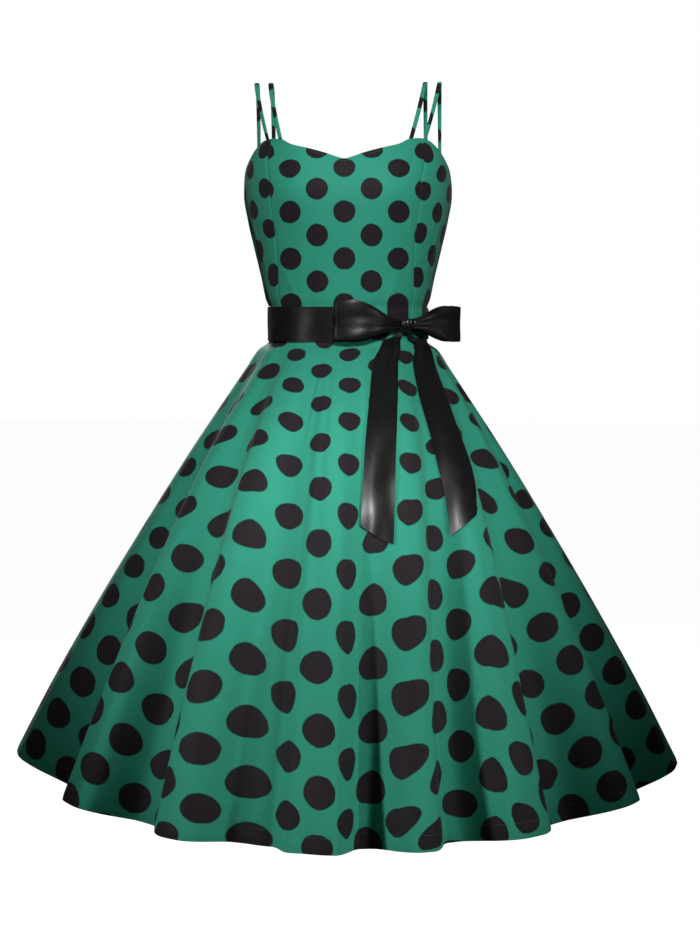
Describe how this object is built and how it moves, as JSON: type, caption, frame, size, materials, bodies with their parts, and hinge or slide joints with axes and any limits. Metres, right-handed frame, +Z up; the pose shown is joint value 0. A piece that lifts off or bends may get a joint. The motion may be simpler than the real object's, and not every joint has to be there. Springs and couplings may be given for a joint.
{
  "type": "a-line dress",
  "caption": "Worn, hollow a-line swing dress: sweetheart bodice on double shoulder straps, full fluted skirt, spotted cloth and a satin ribbon belt tied in a bow",
  "frame": {"origin": "midway between the shoulder straps, at the height of their tops, where the wearer's shoulders hold the dress up", "axes": "+Z is up along the body, -Y is the front of the dress, +X is the wearer's left"},
  "size_m": [0.9348, 0.8307, 0.9842],
  "materials": {
    "dress_cloth": "matte emerald woven cotton with a printed half-drop of charcoal spots",
    "ribbon": "black satin, soft broad highlights",
    "zip_tape": "matte woven tape",
    "zip_metal": "nickel-plated zinc"
  },
  "bodies": {
    "root": {"bodice_front": "dress_cloth", "bodice_side_left": "dress_cloth", "bodice_side_right": "dress_cloth", "bodice_back_left": "dress_cloth", "bodice_back_right": "dress_cloth", "skirt_front": "dress_cloth", "skirt_back_left": "dress_cloth", "skirt_back_right": "dress_cloth", "strap_inner_left": "dress_cloth", "strap_inner_right": "dress_cloth", "strap_outer_left": "dress_cloth", "strap_outer_right": "dress_cloth", "belt_ribbon": "ribbon", "bow_knot": "ribbon", "bow_loop_left": "ribbon", "bow_loop_right": "ribbon", "bow_tail_left": "ribbon", "bow_tail_right": "ribbon", "zip_tape": "zip_tape", "zip_slider": "zip_metal"},
    "zip_pull": {"zip_pull": "zip_metal"}
  },
  "joints": [
    {"name": "zip_pull_swing", "type": "hinge", "parent": "root", "child": "zip_pull", "pos_m": [0, 0.11912, -0.1675], "axis": [1, 0, 0], "range_deg": [0, 165]}
  ]
}
